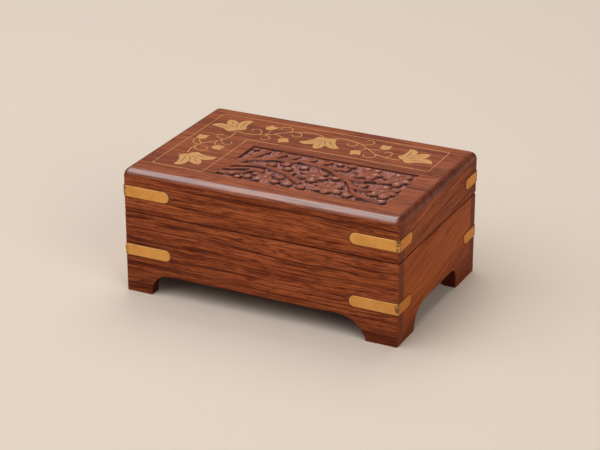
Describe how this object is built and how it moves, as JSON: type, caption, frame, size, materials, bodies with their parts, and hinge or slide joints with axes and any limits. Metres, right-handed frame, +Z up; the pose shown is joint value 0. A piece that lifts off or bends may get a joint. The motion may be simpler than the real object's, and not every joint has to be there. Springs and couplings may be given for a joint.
{
  "type": "inlaid wooden box",
  "caption": "Hinged hardwood keepsake box on arched feet, with brass corner straps and a lid that has a brass vine inlay and a carved flower field.",
  "frame": {"origin": "middle of the footprint, on the ground under the feet", "axes": "+X to the right along the front, -Y towards the front, +Z up"},
  "size_m": [0.1544, 0.1026, 0.0683],
  "materials": {
    "hardwood": "satin waxed",
    "inlay_brass": "satin, rubbed flush",
    "fitting_brass": "satin",
    "lining": "short velvet pile"
  },
  "bodies": {
    "body": {"back_board": "hardwood", "base_lining": "lining", "base_panel": "hardwood", "body_hinge_brads": "fitting_brass", "body_strap_back_left": "fitting_brass", "body_strap_back_right": "fitting_brass", "body_strap_brads": "fitting_brass", "body_strap_front_left": "fitting_brass", "body_strap_front_right": "fitting_brass", "front_board": "hardwood", "hinge_left_body_leaf": "fitting_brass", "hinge_left_pin": "fitting_brass", "hinge_right_body_leaf": "fitting_brass", "hinge_right_pin": "fitting_brass", "left_board": "hardwood", "right_board": "hardwood"},
    "lid": {"hinge_left_lid_leaf": "fitting_brass", "hinge_right_lid_leaf": "fitting_brass", "inlay_border": "inlay_brass", "inlay_buds": "inlay_brass", "inlay_flower_back": "inlay_brass", "inlay_flower_corner": "inlay_brass", "inlay_flower_front": "inlay_brass", "inlay_flower_right": "inlay_brass", "inlay_vine_back": "inlay_brass", "inlay_vine_left": "inlay_brass", "inlay_vine_right": "inlay_brass", "lid_back_rail": "hardwood", "lid_front_rail": "hardwood", "lid_hinge_brads": "fitting_brass", "lid_left_rail": "hardwood", "lid_right_rail": "hardwood", "lid_strap_back_left": "fitting_brass", "lid_strap_back_right": "fitting_brass", "lid_strap_brads": "fitting_brass", "lid_strap_front_left": "fitting_brass", "lid_strap_front_right": "fitting_brass", "lid_top_panel": "hardwood"}
  },
  "joints": [
    {"name": "lid_hinge", "type": "hinge", "parent": "body", "child": "lid", "pos_m": [0, 0.04915, 0.0448], "axis": [-1, 0, 0], "range_deg": [0, 98]}
  ]
}
